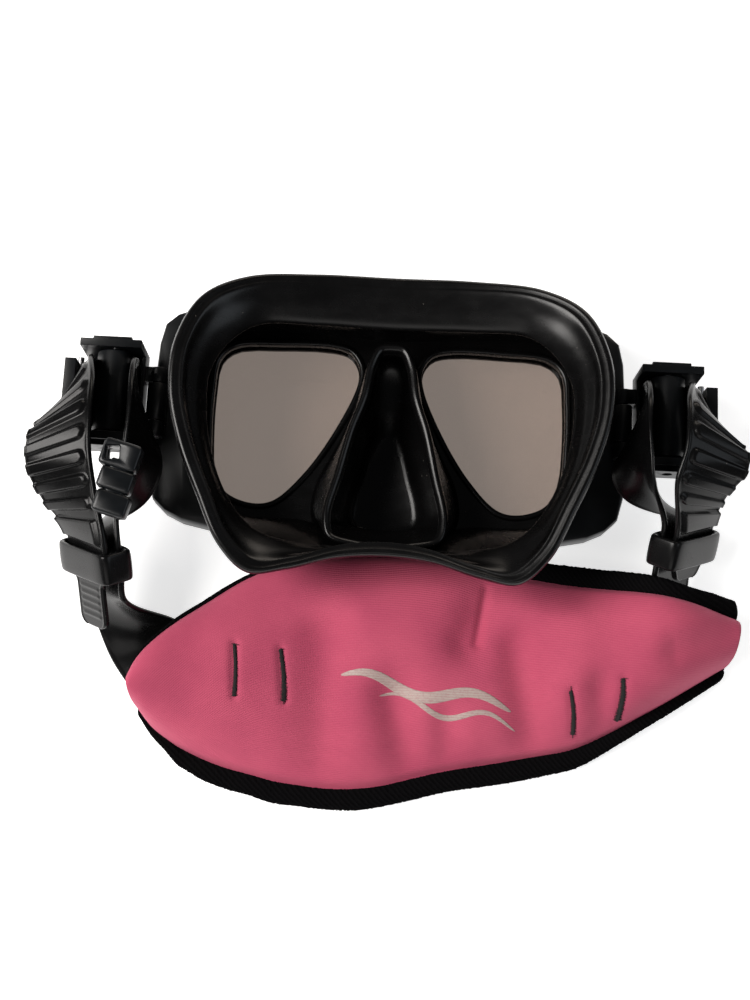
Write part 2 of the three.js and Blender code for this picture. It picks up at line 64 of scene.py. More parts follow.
# ---------- curves and meshes
def metres(points):
    return (np.asarray(points, float) - (0.0, BRIDGE_Y, 0.0)) * MM


def unit(vectors):
    vectors = np.asarray(vectors, float)
    return vectors / np.linalg.norm(vectors, axis=-1, keepdims=True)


def smooth_step(values, low, high):
    share = np.clip((np.asarray(values, float) - low) / (high - low), 0, 1)
    return share * share * (3 - 2 * share)


def bell(distance, reach):
    return np.exp(-((distance / reach) ** 2))


def round_shares(count):
    """Even shares of a closed curve, without its end."""
    return np.linspace(0, 1, count, endpoint=False)


def round_angles(count):
    return np.linspace(0, 2 * np.pi, count, endpoint=False)


def superellipse(angles, sharp_x, sharp_y):
    """A circle squared off towards a rectangle; smaller numbers are squarer."""
    x = np.sign(np.cos(angles)) * np.abs(np.cos(angles)) ** sharp_x
    y = np.sign(np.sin(angles)) * np.abs(np.sin(angles)) ** sharp_y
    return x, y


def spline(points, closed=False):
    """A centripetal Catmull-Rom curve through points, as a function of shares from 0 to 1."""
    given = np.asarray(points, float)
    count = len(given)
    spans = count if closed else count - 1
    if not closed:
        given = np.vstack([2 * given[0] - given[1], given, 2 * given[-1] - given[-2]])

    def at(shares):
        place = np.clip(np.asarray(shares, float), 0, 1) * spans
        first = np.minimum(place.astype(int), spans - 1)
        along = (place - first)[:, None]
        if closed:
            a, b, c, d = [given[(first + i - 1) % count] for i in range(4)]
        else:
            a, b, c, d = [given[first + i] for i in range(4)]
        gaps = [np.sqrt(np.linalg.norm(q - p, axis=1))[:, None] for p, q in ((a, b), (b, c), (c, d))]
        before, here, after = [np.maximum(gap, 1e-6) for gap in gaps]
        leave = ((b - a) / before - (c - a) / (before + here) + (c - b) / here) * here
        arrive = ((c - b) / here - (d - b) / (here + after) + (d - c) / after) * here
        square = along * along
        cube = square * along
        return (
            b
            + leave * along
            + (-3 * b + 3 * c - 2 * leave - arrive) * square
            + (2 * b - 2 * c + leave + arrive) * cube
        )

    return at


def outline(half):
    """The closed curve through points given for x >= 0 and mirrored."""
    left = [(-x, y) for x, y in half if x > 0]
    return spline(list(half) + left[::-1], closed=True)


def grown(points, distance):
    """A closed 2-D outline moved outwards."""
    area = np.sum(points[:, 0] * np.roll(points[:, 1], -1) - np.roll(points[:, 0], -1) * points[:, 1])
    along = unit(np.roll(points, -1, axis=0) - np.roll(points, 1, axis=0))
    outwards = np.stack([along[:, 1], -along[:, 0]], axis=1) * np.sign(area)
    return points + outwards * distance


def with_height(points, height):
    return np.column_stack([points, np.broadcast_to(height, len(points))])


def piece(name, points, faces, material):
    """A mesh object from points in millimetres."""
    mesh = bpy.data.meshes.new(name)
    mesh.from_pydata(metres(points).tolist(), [], faces)
    mesh.update()
    made = bpy.data.objects.new(name, mesh)
    scene.collection.objects.link(made)
    mesh.materials.append(material)
    face_out(mesh)
    shade_smooth(mesh)
    return made


def shade_smooth(mesh):
    mesh.polygons.foreach_set("use_smooth", [True] * len(mesh.polygons))


def face_out(mesh):
    built = bmesh.new()
    built.from_mesh(mesh)
    bmesh.ops.recalc_face_normals(built, faces=built.faces)
    built.to_mesh(mesh)
    built.free()


def lofted(rings, around=False):
    """Points and faces through closed rings; the ends are capped unless it closes on itself."""
    rings = np.asarray(rings, float)
    rows, size = rings.shape[:2]
    faces = []
    for row in range(rows if around else rows - 1):
        this, following = row * size, (row + 1) % rows * size
        for i in range(size):
            j = (i + 1) % size
            faces.append((this + i, this + j, following + j, following + i))
    if not around:
        faces.append(tuple(range(size)))
        faces.append(tuple(range((rows - 1) * size, rows * size)))
    return rings.reshape(-1, 3), faces


def joined(parts):
    """One list of points and faces from several."""
    points, faces = [], []
    for part_points, part_faces in parts:
        shift = sum(len(p) for p in points)
        points.append(part_points)
        faces.extend(tuple(i + shift for i in face) for face in part_faces)
    return np.vstack(points), faces


def rounded_edges(node, width):
    """Bevels a CAD node's hard edges; its own mesh is left as it is."""
    weld = node.modifiers.new("weld", "WELD")
    weld.merge_threshold = 0.002 * MM
    flats = node.modifiers.new("flats", "DECIMATE")
    flats.decimate_type = "DISSOLVE"
    flats.angle_limit = math.radians(1)
    bevel = node.modifiers.new("round", "BEVEL")
    bevel.width = width * MM
    bevel.segments = 3
    bevel.limit_method = "ANGLE"
    bevel.angle_limit = math.radians(34)
    bevel.harden_normals = True
    shade_smooth(node.data)


# ---------- material nodes
class Finish:
    """A material whose Principled shader is fed by procedural nodes."""

    def __init__(self, name, **numbers):
        self.material = bpy.data.materials.new(name)
        self.material.use_nodes = True
        self.tree = self.material.node_tree
        self.shader = self.tree.nodes["Principled BSDF"]
        self.coordinates = self.tree.nodes.new("ShaderNodeTexCoord").outputs["Object"]
        for socket, value in numbers.items():
            self.shader.inputs[socket.replace("_", " ")].default_value = value

    def add(self, kind, inputs=None, **settings):
        made = self.tree.nodes.new(kind)
        for key, value in settings.items():
            setattr(made, key, value)
        for key, value in (inputs or {}).items():
            if isinstance(value, bpy.types.NodeSocket):
                self.tree.links.new(value, made.inputs[key])
            else:
                made.inputs[key].default_value = value
        return made

    def noise(self, size, detail=3.0, roughness=0.5, stretch=(1, 1, 1)):
        """Noise whose features are about `size` millimetres across."""
        place = self.add("ShaderNodeMapping", {"Vector": self.coordinates, "Scale": stretch})
        inputs = {"Vector": place.outputs[0], "Scale": 1 / (size * MM)}
        inputs |= {"Detail": detail, "Roughness": roughness}
        return self.add("ShaderNodeTexNoise", inputs).outputs["Fac"]

    def ribs(self, pitch, direction, distortion=0.0, laid=False):
        """Parallel ribs across X, Y or Z, or along the cloth if it is laid, `pitch` millimetres apart."""
        wave_turns = 20 / (2 * math.pi)  # a wave texture of scale 1 has this many ribs in a metre
        inputs = {
            "Vector": self.add("ShaderNodeUVMap").outputs[0] if laid else self.coordinates,
            "Scale": 1 / (pitch * MM * wave_turns),
            "Distortion": distortion,
            "Detail": 2.0,
            "Detail Scale": 1.5,
        }
        return self.add("ShaderNodeTexWave", inputs, bands_direction=direction).outputs["Fac"]

    def ranged(self, value, low, high, from_low=0.0, from_high=1.0):
        inputs = {"Value": value, "From Min": from_low, "From Max": from_high}
        inputs |= {"To Min": low, "To Max": high}
        return self.add("ShaderNodeMapRange", inputs).outputs["Result"]

    def mixed(self, share, first, second):
        inputs = {"Factor": share, 6: first, 7: second}
        return self.add("ShaderNodeMix", inputs, data_type="RGBA").outputs[2]

    def sums(self, first, second, operation="ADD"):
        return self.add("ShaderNodeMath", {0: first, 1: second}, operation=operation).outputs[0]

    def bump(self, height, depth, strength=1.0):
        """Relief `depth` millimetres deep, added to what is there."""
        inputs = {"Height": height, "Distance": depth * MM, "Strength": strength}
        below = self.shader.inputs["Normal"]
        if below.is_linked:
            inputs["Normal"] = below.links[0].from_socket
        self.feed("Normal", self.add("ShaderNodeBump", inputs).outputs[0])

    def feed(self, socket, value):
        self.tree.links.new(value, self.shader.inputs[socket])


def colour(red, green, blue):
    return (red, green, blue, 1.0)


def moulded(name, base, roughness, dust=0.0, grain=0.02, shine=0.36):
    """Black silicone or plastic: uneven gloss, faint grain, and a few specks of dust."""
    made = Finish(name, Specular_IOR_Level=shine)
    cloud = made.noise(14, detail=4)
    dark = colour(*(0.75 * c for c in base))
    light = colour(*(1.3 * c for c in base))
    tone = made.mixed(made.ranged(cloud, 0, 1, 0.35, 0.65), dark, light)
    if dust:
        cells = made.add("ShaderNodeTexVoronoi", {"Vector": made.coordinates, "Scale": 1 / (4.5 * MM)})
        spot = made.sums(cells.outputs["Distance"], 0.045, "LESS_THAN")
        rare = made.sums(made.noise(16, detail=1), 0.56, "GREATER_THAN")
        share = made.sums(made.sums(spot, rare, "MULTIPLY"), dust, "MULTIPLY")
        tone = made.mixed(share, tone, colour(0.32, 0.29, 0.26))
    made.feed("Base Color", tone)
    smear = made.noise(9, detail=5, roughness=0.6, stretch=(1, 1.8, 1))
    made.feed("Roughness", made.ranged(smear, roughness - 0.03, roughness + 0.05, 0.3, 0.7))
    made.bump(made.noise(0.35, detail=2), grain, 0.3)
    return made.material


def jersey():
    """Pink nylon jersey on neoprene: fine knitted courses, heathered and a little fuzzy."""
    made = Finish("cover_jersey", Sheen_Weight=0.12, Sheen_Roughness=0.45,
                  Sheen_Tint=colour(1.0, 0.62, 0.74), Specular_IOR_Level=0.25)
    courses = made.ribs(0.86, "Y", distortion=0.9, laid=True)
    wales = made.ribs(0.6, "X", distortion=1.4, laid=True)
    fluff = made.noise(0.5, detail=4, roughness=0.7)
    cloud = made.noise(24, detail=3)
    rose = made.mixed(
        made.ranged(cloud, 0, 1, 0.38, 0.64), colour(0.43, 0.050, 0.110), colour(0.50, 0.066, 0.130)
    )
    shade = made.sums(made.ranged(courses, 0.0, 0.5), made.ranged(fluff, 0.0, 0.5, 0.25, 0.75))
    tone = made.mixed(made.ranged(shade, 0.0, 0.34), rose, colour(0.62, 0.15, 0.22))
    made.feed("Base Color", tone)
    made.feed("Roughness", made.ranged(fluff, 0.72, 0.95, 0.3, 0.7))
    made.bump(courses, 0.09, 0.8)
    made.bump(wales, 0.03, 0.6)
    made.bump(fluff, 0.08, 0.7)
    return made.material


def black_cloth(name, pitch, depth):
    """Black lining, woven binding or elastic, with its ribs and stray fibres."""
    made = Finish(name, Specular_IOR_Level=0.02)
    ribs = made.ribs(pitch, "DIAGONAL", distortion=1.2)
    fluff = made.noise(0.45, detail=4, roughness=0.75)
    shade = made.sums(made.ranged(ribs, 0.0, 0.5), made.ranged(fluff, 0.0, 0.5, 0.3, 0.7))
    dark, worn = colour(0.0014, 0.0013, 0.0015), colour(0.0052, 0.005, 0.0055)
    made.feed("Base Color", made.mixed(shade, dark, worn))
    made.feed("Roughness", made.ranged(fluff, 0.8, 1.0))
    made.bump(ribs, depth, 0.8)
    made.bump(fluff, 0.12, 0.9)
    return made.material


def thread():
    made = Finish("stitch_thread", Roughness=0.85)
    twist = made.ribs(0.35, "Y", distortion=0.6)
    made.feed("Base Color", made.mixed(twist, colour(0.002, 0.002, 0.002), colour(0.014, 0.013, 0.013)))
    made.bump(twist, 0.06, 0.8)
    return made.material


def print_ink():
    """The pale flexible ink of the cover's print, with the knit showing through it."""
    made = Finish("cover_ink", Roughness=0.6)
    courses = made.ribs(0.86, "Y", distortion=0.9)
    wear = made.noise(0.9, detail=5, roughness=0.7)
    share = made.sums(made.ranged(courses, 0.0, 0.35), made.ranged(wear, 0.0, 0.6, 0.45, 0.75))
    made.feed("Base Color", made.mixed(share, colour(0.46, 0.38, 0.34), colour(0.36, 0.17, 0.18)))
    made.bump(courses, 0.05, 0.7)
    return made.material


def brushed_steel():
    made = Finish("pin_steel", Metallic=1.0)
    lines = made.noise(0.25, detail=3, stretch=(1, 0.05, 1))
    made.feed("Base Color", made.mixed(lines, colour(0.42, 0.42, 0.43), colour(0.68, 0.68, 0.69)))
    made.feed("Roughness", made.ranged(lines, 0.22, 0.42, 0.3, 0.7))
    made.bump(lines, 0.01, 0.5)
    return made.material


def shade_tinted_glass():
    """Glass with faint smears and a brownish-grey tint that is painted shade on the floor seen through the
    lens; lamps light what lies behind it, dimmed by a tint that paints the shadow under the lens.
    """
    # The dark base colour is painted shade: it darkens the floor seen through the lens.
    made = Finish("lens_glass", Transmission_Weight=1.0, IOR=1.5, Base_Color=colour(0.28, 0.237, 0.21))
    smear = made.noise(11, detail=4)
    made.feed("Roughness", made.ranged(smear, 0.0, 0.05, 0.45, 0.8))
    path = made.add("ShaderNodeLightPath")
    # The shadow rays' tint is painted shadow: it darkens the floor under the lens.
    painted_shadow_way = made.add("ShaderNodeBsdfTransparent", {"Color": colour(0.50, 0.45, 0.42)})
    inputs = {0: path.outputs["Is Shadow Ray"], 1: made.shader.outputs[0], 2: painted_shadow_way.outputs[0]}
    mix = made.add("ShaderNodeMixShader", inputs)
    output = made.tree.nodes["Material Output"]
    made.tree.links.new(mix.outputs[0], output.inputs["Surface"])
    return made.material


SKIRT_BLACK = (0.0026, 0.0025, 0.0026)
STRAP_BLACK = (0.0036, 0.0036, 0.0038)
PLASTIC_BLACK = (0.0030, 0.0038, 0.0048)
FINISHES = {
    "skirt_silicone": moulded("skirt_silicone", SKIRT_BLACK, 0.25, dust=0.2, grain=0.006, shine=0.3),
    "strap_silicone": moulded("strap_silicone", STRAP_BLACK, 0.24, dust=0.2, shine=0.2),
    "frame_plastic": moulded("frame_plastic", PLASTIC_BLACK, 0.36, dust=0.25, grain=0.03),
    "buckle_plastic": moulded("buckle_plastic", PLASTIC_BLACK, 0.33, grain=0.03),
    "keeper_plastic": moulded("keeper_plastic", PLASTIC_BLACK, 0.3, grain=0.02),
    "cover_jersey": jersey(),
    "cover_lining": black_cloth("cover_lining", 0.7, 0.08),
    "cover_edging": black_cloth("cover_edging", 1.1, 0.16),
    "stitch_thread": thread(),
    "pin_steel": brushed_steel(),
    "lens_glass": shade_tinted_glass(),
}
INK = print_ink()


def dress_cad_nodes():
    """Gives every CAD node its material, and rounds the edges of the frame, buckle and glass ones."""
    widths = {"frame_plastic": 0.7, "buckle_plastic": 0.5, "lens_glass": 0.3}
    for row in frame["record"]["subparts"]:
        node = frame["nodes"][row["node"]]
        slot = row["material_slot"]
        node.data.materials.clear()
        node.data.materials.append(FINISHES[slot])
        if slot in widths:
            rounded_edges(node, widths[slot])


# ---------- skirt
SKIRT_BASE = [(0, 33), (28, 34), (52, 34), (68, 30), (75, 15), (76, -5), (74, -22), (66, -35),
              (55, -40.5), (45, -41.5), (32, -42), (16, -46), (0, -47)]
SKIRT_EDGE = [(0, 42), (28, 41.5), (52, 38), (67, 29), (75, 12), (76, -6), (72, -23), (64, -42),
              (56, -58), (46, -66.5), (33, -64.5), (16, -59.5), (0, -58)]
FLANGE_EDGE = [(0, 25), (27, 25), (48, 23), (58, 15), (63.5, 4), (64, -8), (62, -22), (57, -36),
               (50.5, -46), (43, -51.5), (32, -54), (16, -54.5), (0, -54)]
LENS_OPENING = [(22, 27), (42, 27), (59, 25.5), (64.5, 20.5), (66, 8), (66, -8), (64.5, -22),
                (59, -31), (49, -34.5), (41.5, -33), (31, -22.5), (20.5, -6), (12.6, 12), (12, 19.5),
                (15.5, 25)]
NOSE_CREST = [(0, 22), (5, 21), (8.5, 14), (10.5, 2), (14.5, -10), (18.5, -27), (22, -43), (20, -51),
              (10, -54), (0, -54.5)]
NOSE_ROOT = [(0, 23), (7, 20), (11, 10), (14, -2), (18, -12), (25, -27), (26, -38), (22, -44),
             (10, -46), (0, -46.5)]
NOSE_FRONT = [(0, -1), (4, -3), (7, -8), (9, -14), (11, -22), (13.5, -31), (14, -38), (12, -42),
              (6, -44), (0, -44.5)]
# The sealing lip's section: how far in from the edge, and how far below the top.
LIP = [(-0.5, 1.8), (0.3, 0.3), (1.4, 0), (2.4, 0.35), (3.2, 0.6), (4.4, 0.7)]
# The nose pocket's outside: share of the way from root to crest, share of the height, and inset.
POCKET = [(-0.02, 0.06), (0.1, 0.18), (0.3, 0.4), (0.56, 0.63), (0.8, 0.82), (0.93, 0.93, -0.1),
          (1.0, 0.985, 0.1), (1.0, 1.01, 0.9), (1.0, 1.0, 1.8), (1.0, 0.97, 2.6)]
PLATE = (7.1, 9.1)  # the skirt's flat floor, between the lenses
WALL = 2.0


def face_height(x):
    """The sealing edge reaches further back at the temples than at the nose."""
    return 47 + 13 * (x / 76) ** 2


def skirt_section(base, edge, inner):
    """Closed section of the wall and its sealing flange: up the outside, over the double lip,
    down the flange and back up its underside. The lip has a groove inside its outer bead."""
    middle = np.array([0.0, -6.0])

    def inward(p, distance):
        return p + (middle - p) / np.linalg.norm(middle - p) * distance

    def across(share):
        return edge + (inner - edge) * share

    top = face_height(edge[0])
    lip = face_height(inner[0]) - 8
    quarter = base + (edge - base) * 0.25
    high = base + (edge - base) * 0.75
    rows = [
        (base, PLATE[0]),
        (base, 12.4),
        (quarter, top * 0.45),
        (high, top * 0.75),
        (edge, top - 4.2),
        *[(inward(edge, distance), top - drop) for distance, drop in LIP],
        (across(0.5), top + (lip - top) * 0.3),
        (across(0.75), top + (lip - top) * 0.58),
        (inward(inner, -0.8), lip + 1.2),
        (inner, lip - 0.1),
        (inward(inner, -1.2), lip - 0.9),
        (across(0.75), top + (lip - top) * 0.58 - WALL),
        (across(0.5), top + (lip - top) * 0.3 - 2 * WALL),
        (inward(edge, 4.4), top - 6),
        (inward(high, WALL), top * 0.72),
        (inward(quarter, WALL), top * 0.45),
        (inward(base, WALL), 12),
        (inward(base, WALL), PLATE[0]),
    ]
    points = np.array([(p[0], p[1], z) for p, z in rows])
    return spline(points, closed=True)(round_shares(120))


def skirt_wall():
    shares = round_shares(420)
    outlines = [outline(half)(shares) for half in (SKIRT_BASE, SKIRT_EDGE, FLANGE_EDGE)]
    return lofted([skirt_section(*points) for points in zip(*outlines)], around=True)


def nose_pocket():
    """The pocket's shell: up its outside from the floor, over a rounded rim, and down inside."""
    shares = round_shares(160)
    crest, root, front = [outline(half)(shares) for half in (NOSE_CREST, NOSE_ROOT, NOSE_FRONT)]
    rim = 34.5 + 2.5 * smooth_step(-crest[:, 1], 20, 52) - 1.5 * smooth_step(crest[:, 1], -2, 22)

    def between(share, height_share, inset=0.0):
        points = grown(root + (crest - root) * share, -inset)
        return with_height(points, PLATE[1] + (rim - PLATE[1]) * height_share)

    hollow = grown(crest, -WALL)
    deep = grown(root, -WALL - 1.0)
    floor = grown(front, -WALL)
    rings = [
        with_height(front, 1.5),
        with_height(grown(root, -0.5), PLATE[0]),
        with_height(grown(root, 1.4), PLATE[1] - 0.4),
        with_height(grown(root, 1.2), PLATE[1] + 0.3),
        *[between(*row) for row in POCKET],
        with_height(grown(hollow, -1.1), rim - 3.4),
        with_height(hollow + (deep - hollow) * 0.5, (rim + 15) / 2),
        with_height(deep, 15),
        with_height(deep + (floor - deep) * 0.7, 7.5),
        with_height(floor, 4.2),
        with_height(grown(floor, -2.0), 3.4),
    ]
    return lofted(smoothed_rings(rings, 4))


def smoothed_rings(rings, times):
    """More rings between the given ones, along smooth curves through matching points."""
    stack = np.asarray(rings, float)
    rows, size = stack.shape[:2]
    shares = np.linspace(0, 1, (rows - 1) * times + 1)
    columns = [spline(stack[:, i])(shares) for i in range(size)]
    return np.stack(columns, axis=1)


def plate_with_holes():
    """The skirt's floor, open at both lenses and at the nose."""
    flat = bpy.data.curves.new("floor", "CURVE")
    flat.dimensions = "2D"
    flat.fill_mode = "BOTH"
    flat.extrude = (PLATE[1] - PLATE[0]) / 2
    shares = round_shares(200)
    right_lens = spline(LENS_OPENING, closed=True)(shares)
    holes = [right_lens, right_lens * (-1, 1), grown(outline(NOSE_ROOT)(shares), -1.0)]
    for points in [outline(SKIRT_BASE)(shares), *holes]:
        loop = flat.splines.new("POLY")
        loop.points.add(len(points) - 1)
        loop.points.foreach_set("co", np.column_stack([points, np.zeros((len(points), 2))]).ravel())
        loop.use_cyclic_u = True
    holder = bpy.data.objects.new("floor", flat)
    scene.collection.objects.link(holder)
    mesh = bpy.data.meshes.new_from_object(holder.evaluated_get(bpy.context.evaluated_depsgraph_get()))
    points = np.array([v.co for v in mesh.vertices]) + (0, 0, sum(PLATE) / 2)
    faces = [tuple(p.vertices) for p in mesh.polygons]
    bpy.data.objects.remove(holder)
    return points, faces


def lens_bead(s):
    """The soft raised bead that seals round a lens."""
    shares = round_shares(200)
    around = grown(spline(LENS_OPENING, closed=True)(shares) * (s, 1), 1.1)
    rings = []
    for angle in round_angles(10):
        ring = grown(around, 1.1 * math.cos(angle))
        rings.append(with_height(ring, PLATE[1] + 0.2 + 0.9 * math.sin(angle)))
    return lofted(rings, around=True)


def make_skirt():
    parts = [skirt_wall(), nose_pocket(), plate_with_holes(), lens_bead(1), lens_bead(-1)]
    add_piece("skirt_body", joined(parts), "root", "skirt_silicone", "skirt")


def finish_piece(made, body, slot, *nodes):
    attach(made, body)
    if nodes:
        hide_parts(*nodes)
    return made


def add_piece(name, shape, body, slot, *nodes):
    """A finished piece from points and faces, in its slot's material."""
    return finish_piece(piece(name, *shape, FINISHES[slot]), body, slot, *nodes)


# ---------- strap
STRAP_WIDTH = 26.0
STRAP_THICK = 2.2
ROLLER = {"out": 101, "z": 27, "wrap": 7.9}
SIDES = {
    "left": {"s": -1, "keeper": (101, -62, 32), "tail": 24},
    "right": {"s": 1, "keeper": (108, -46, 22.5), "tail": 11},
}
# Rows: distance outwards, share of the way to the keeper, height, and direction across.
TAIL_RUN = [
    (107.5, 0.03, 38, (0.3, -0.95, 0)),
    (104, 0.19, 48, (0.7, -0.65, -0.25)),
    (103, 0.38, 52, (0.87, -0.42, -0.25)),
    (102, 0.6, 52.5, (0.9, -0.2, -0.35)),
    (99.5, 0.82, 49.5, (0.82, -0.02, -0.57)),
]
INNER_RUN = [
    (92.5, 0.03, 37, (-0.08, -0.98, -0.12)),
    (92, 0.19, 44.5, (-0.36, -0.82, -0.42)),
    (91.5, 0.38, 47.5, (-0.42, -0.66, -0.62)),
    (92, 0.6, 47.5, (-0.22, -0.5, -0.84)),
    (93, 0.82, 45, (0.25, -0.2, -0.94)),
]
# The strap's middle, on both sides of the cover: edge point, direction across, and width.
LEFT_MIDDLE = [
    ((-75, -79, 12), (-0.72, -0.6, -0.25), 28),
    ((-66, -82, 5.5), (-0.3, -0.93, -0.04), 34),
    ((-48, -79, 4.5), (0, -1, 0), 38),
]
RIGHT_MIDDLE = [
    ((93, -68, 8), (0.5, -0.85, -0.12), 28),
    ((80, -71, 4.8), (0.12, -1, -0.02), 31),
    ((50, -74, 4.5), (0, -1, 0), 36),
]
CENTRE = ((0, -77, 4.5), (0, -1, 0), 42)


def station(edge, across, width=STRAP_WIDTH):
    return np.array(edge, float), unit(across), width


def keeper_axes(side):
    """The keeper's middle, and its directions along the strap, across it and outwards."""
    along = unit((-0.1, -0.88, -0.46))
    lean = np.array((0.55, -0.1, -0.8))
    across = unit(lean - along * (lean @ along))
    return np.array(side["keeper"], float), along, across, np.cross(along, across)


def in_keeper(side, run, distance):
    """The strap inside the keeper: `run` is 1 for the outer run and -1 for the inner one."""
    centre, along, across, out = keeper_axes(side)
    edge = centre + out * run * 2.7 - across * STRAP_WIDTH / 2 + along * distance
    return edge, across, STRAP_WIDTH


def end_stations(side):
    top = STRAP_WIDTH / 2
    reach = side["keeper"][1] + 9 - top

    def from_row(row):
        out, share, z, across = row
        return station((out, top + share * reach, z), across)

    wrap = []
    for turn in np.linspace(0, math.pi, 9):
        out = ROLLER["out"] + ROLLER["wrap"] * math.cos(turn)
        wrap.append(station((out, top, ROLLER["z"] - ROLLER["wrap"] * math.sin(turn)), (0, -1, 0)))
    return [
        *[in_keeper(side, 1, distance) for distance in (side["tail"], 9, -9)],
        *[from_row(row) for row in TAIL_RUN[::-1]],
        *wrap,
        *[from_row(row) for row in INNER_RUN],
        *[in_keeper(side, -1, distance) for distance in (-9, -1)],
    ]


def mirrored(stations, s):
    return [(edge * (s, 1, 1), across * (s, 1, 1), width) for edge, across, width in stations]


class Band:
    """A strap surface through stations, measured in millimetres from its start."""

    def __init__(self, stations):
        self.edges = spline([edge for edge, across, width in stations])
        self.others = spline([edge + across * width for edge, across, width in stations])
        shares = np.linspace(0, 1, 3000)
        middle = (self.edges(shares) + self.others(shares)) / 2
        steps = np.linalg.norm(np.diff(middle, axis=0), axis=1)
        self.lengths = np.concatenate([[0], np.cumsum(steps)])
        self.shares = shares
        self.length = self.lengths[-1]

    def frames(self, distances):
        """Edge points, other edge points and normals at distances along the middle."""
        shares = np.interp(distances, self.lengths, self.shares)
        nudge = 1e-3
        low, high = np.clip(shares - nudge, 0, 1), np.clip(shares + nudge, 0, 1)
        edges, others = self.edges(shares), self.others(shares)
        along = unit(self.edges(high) - self.edges(low) + self.others(high) - self.others(low))
        across = unit(others - edges)
        return edges, others, unit(np.cross(along, across))


BORDER = 1.3  # width of the raised border along each edge of the strap
BORDER_RISE = 0.25


def band_rings(band, distances, relief=None, taper=None):
    """Closed sections of a strap with rounded edges. relief(distance, across in mm, face) raises
    the face 1 or -1; taper(distance) narrows the band about its middle."""
    share = (1 - np.cos(np.linspace(0, np.pi, 34))) / 2
    edges, others, normals = band.frames(distances)
    rings = []
    for distance, a, b, normal in zip(distances, edges, others, normals):
        narrow = taper(distance) if taper else 1.0
        width = np.linalg.norm(b - a) * narrow
        middle = (a + b) / 2
        half = (b - a) / 2 * narrow
        from_edge = np.minimum(share, 1 - share) * width
        rounding = np.sqrt(np.clip(1 - (1 - np.clip(from_edge / 1.0, 0, 1)) ** 2, 0, 1))
        raised = BORDER_RISE * (1 - smooth_step(from_edge, BORDER - 0.3, BORDER + 0.3))
        ring = []
        for face, order in ((1, share), (-1, share[::-1])):
            lifts = rounding if face > 0 else rounding[::-1]
            rims = raised if face > 0 else raised[::-1]
            extra = relief(distance, order * width, face, width) if relief else 0.0
            height = (STRAP_THICK / 2 - BORDER_RISE + rims + extra) * lifts
            ring.append(middle + half * (2 * order[:, None] - 1) + normal * (face * height)[:, None])
        rings.append(np.vstack([ring[0], ring[1][1:-1]]))
    return rings


RIB = {"pitch": 7.6, "half": 2.1, "height": 1.15, "start": 2.6}


def tail_relief(side):
    """Ribs across the tail's outer face, the wide stop before the keeper and the tip's grip lines."""
    outer_face = -side["s"]
    keeper_end = side["tail"] + 5.5
    stop = (keeper_end + 2.5, keeper_end + 10.5)
    first_rib = stop[1] + 5.6
    last_rib = first_rib + 9 * RIB["pitch"]

    def relief(distance, across, face, width):
        if face != outer_face:
            return 0.0
        inside = smooth_step(across, RIB["start"] - 0.6, RIB["start"] + 0.6)
        if distance < side["tail"] - 7.5:
            line = (distance - 3) % 2.6
            within = smooth_step(distance, 2, 3) * smooth_step(np.minimum(across, width - across), 2, 3)
            return 0.35 * within * bell(line - 1.3, 0.55)
        if stop[0] - 1 < distance < stop[1] + 1:
            body = smooth_step(distance, stop[0] - 0.4, stop[0] + 0.4)
            body = body * (1 - smooth_step(distance, stop[1] - 0.4, stop[1] + 0.4))
            return 1.5 * body * inside
        if first_rib - 4 < distance < last_rib:
            off = (distance - first_rib + RIB["pitch"] / 2) % RIB["pitch"] - RIB["pitch"] / 2
            near = RIB["start"] + RIB["half"] - np.minimum(across, RIB["start"] + RIB["half"])
            reach = np.sqrt(off * off + near * near)
            return RIB["height"] * (1 - smooth_step(reach, RIB["half"] - 0.45, RIB["half"] + 0.35))
        return 0.0

    return relief


def tail_taper(side):
    """The tail's tip is narrower than the strap, with rounded corners."""

    def taper(distance):
        body = 0.66 + 0.34 * float(smooth_step(distance, side["tail"] - 9, side["tail"] - 2))
        corner = math.sqrt(max(0.0, 1 - (1 - min(distance / 3.5, 1)) ** 2))
        return body * (0.55 + 0.45 * corner)

    return taper


def make_strap(name, side):
    """One end of the strap, from its tip round the roller to the keeper, and its link to the middle."""
    s = side["s"]
    body = "buckle_" + name
    step = 0.4
    band = Band(mirrored(end_stations(side), s))
    distances = np.arange(0.05, band.length, step)
    end = lofted(band_rings(band, distances, tail_relief(side), tail_taper(side)))
    add_piece("strap_tail_" + name, end, body, "strap_silicone", "strap_end_" + name)

    rows = LEFT_MIDDLE if name == "left" else RIGHT_MIDDLE
    inside = mirrored([in_keeper(side, -1, distance) for distance in (-3, 4, 13)], s)
    band = Band([*inside, *[station(*row) for row in rows]])
    points, faces = lofted(band_rings(band, np.arange(0, band.length, 2 * step)))
    link = piece("strap_link_" + name, points, faces, FINISHES["strap_silicone"])
    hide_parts("strap_middle")
    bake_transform(link)


def make_strap_back():
    """The strap's middle, hidden under the cover."""
    rows = [LEFT_MIDDLE[1], LEFT_MIDDLE[2], CENTRE, RIGHT_MIDDLE[2], RIGHT_MIDDLE[1]]
    band = Band([station(*row) for row in rows])
    points, faces = lofted(band_rings(band, np.arange(0, band.length, 2.0)))
    below_links = (0, 0, 0.05)
    add_piece("strap_back", (points - below_links, faces), "root", "strap_silicone", "strap_middle")


# ---------- keepers
KEEPER = {"wide": 32.0, "deep": 13.0, "wall": 1.8, "length": 11.0}
# The snorkel keeper's blocks, each with its middle and size, and the first one's square eye.
SNORKEL = {
    "blocks": [
        ((-90.8, -29.8, 55), (13.5, 9.6, 6)),
        ((-91.8, -38.6, 55), (12, 7.6, 6)),
        ((-92.8, -46.6, 54.5), (12, 7.8, 6)),
    ],
    "neck": (6.5, 6, 4.6),
    "leg": (1.6, 16, 5),
    "legs": (-92.3, -34, 51.2),
    "eye": (-93.5, -29),
    "eye_size": 4.6,
    "tilt": math.radians(-15),
}


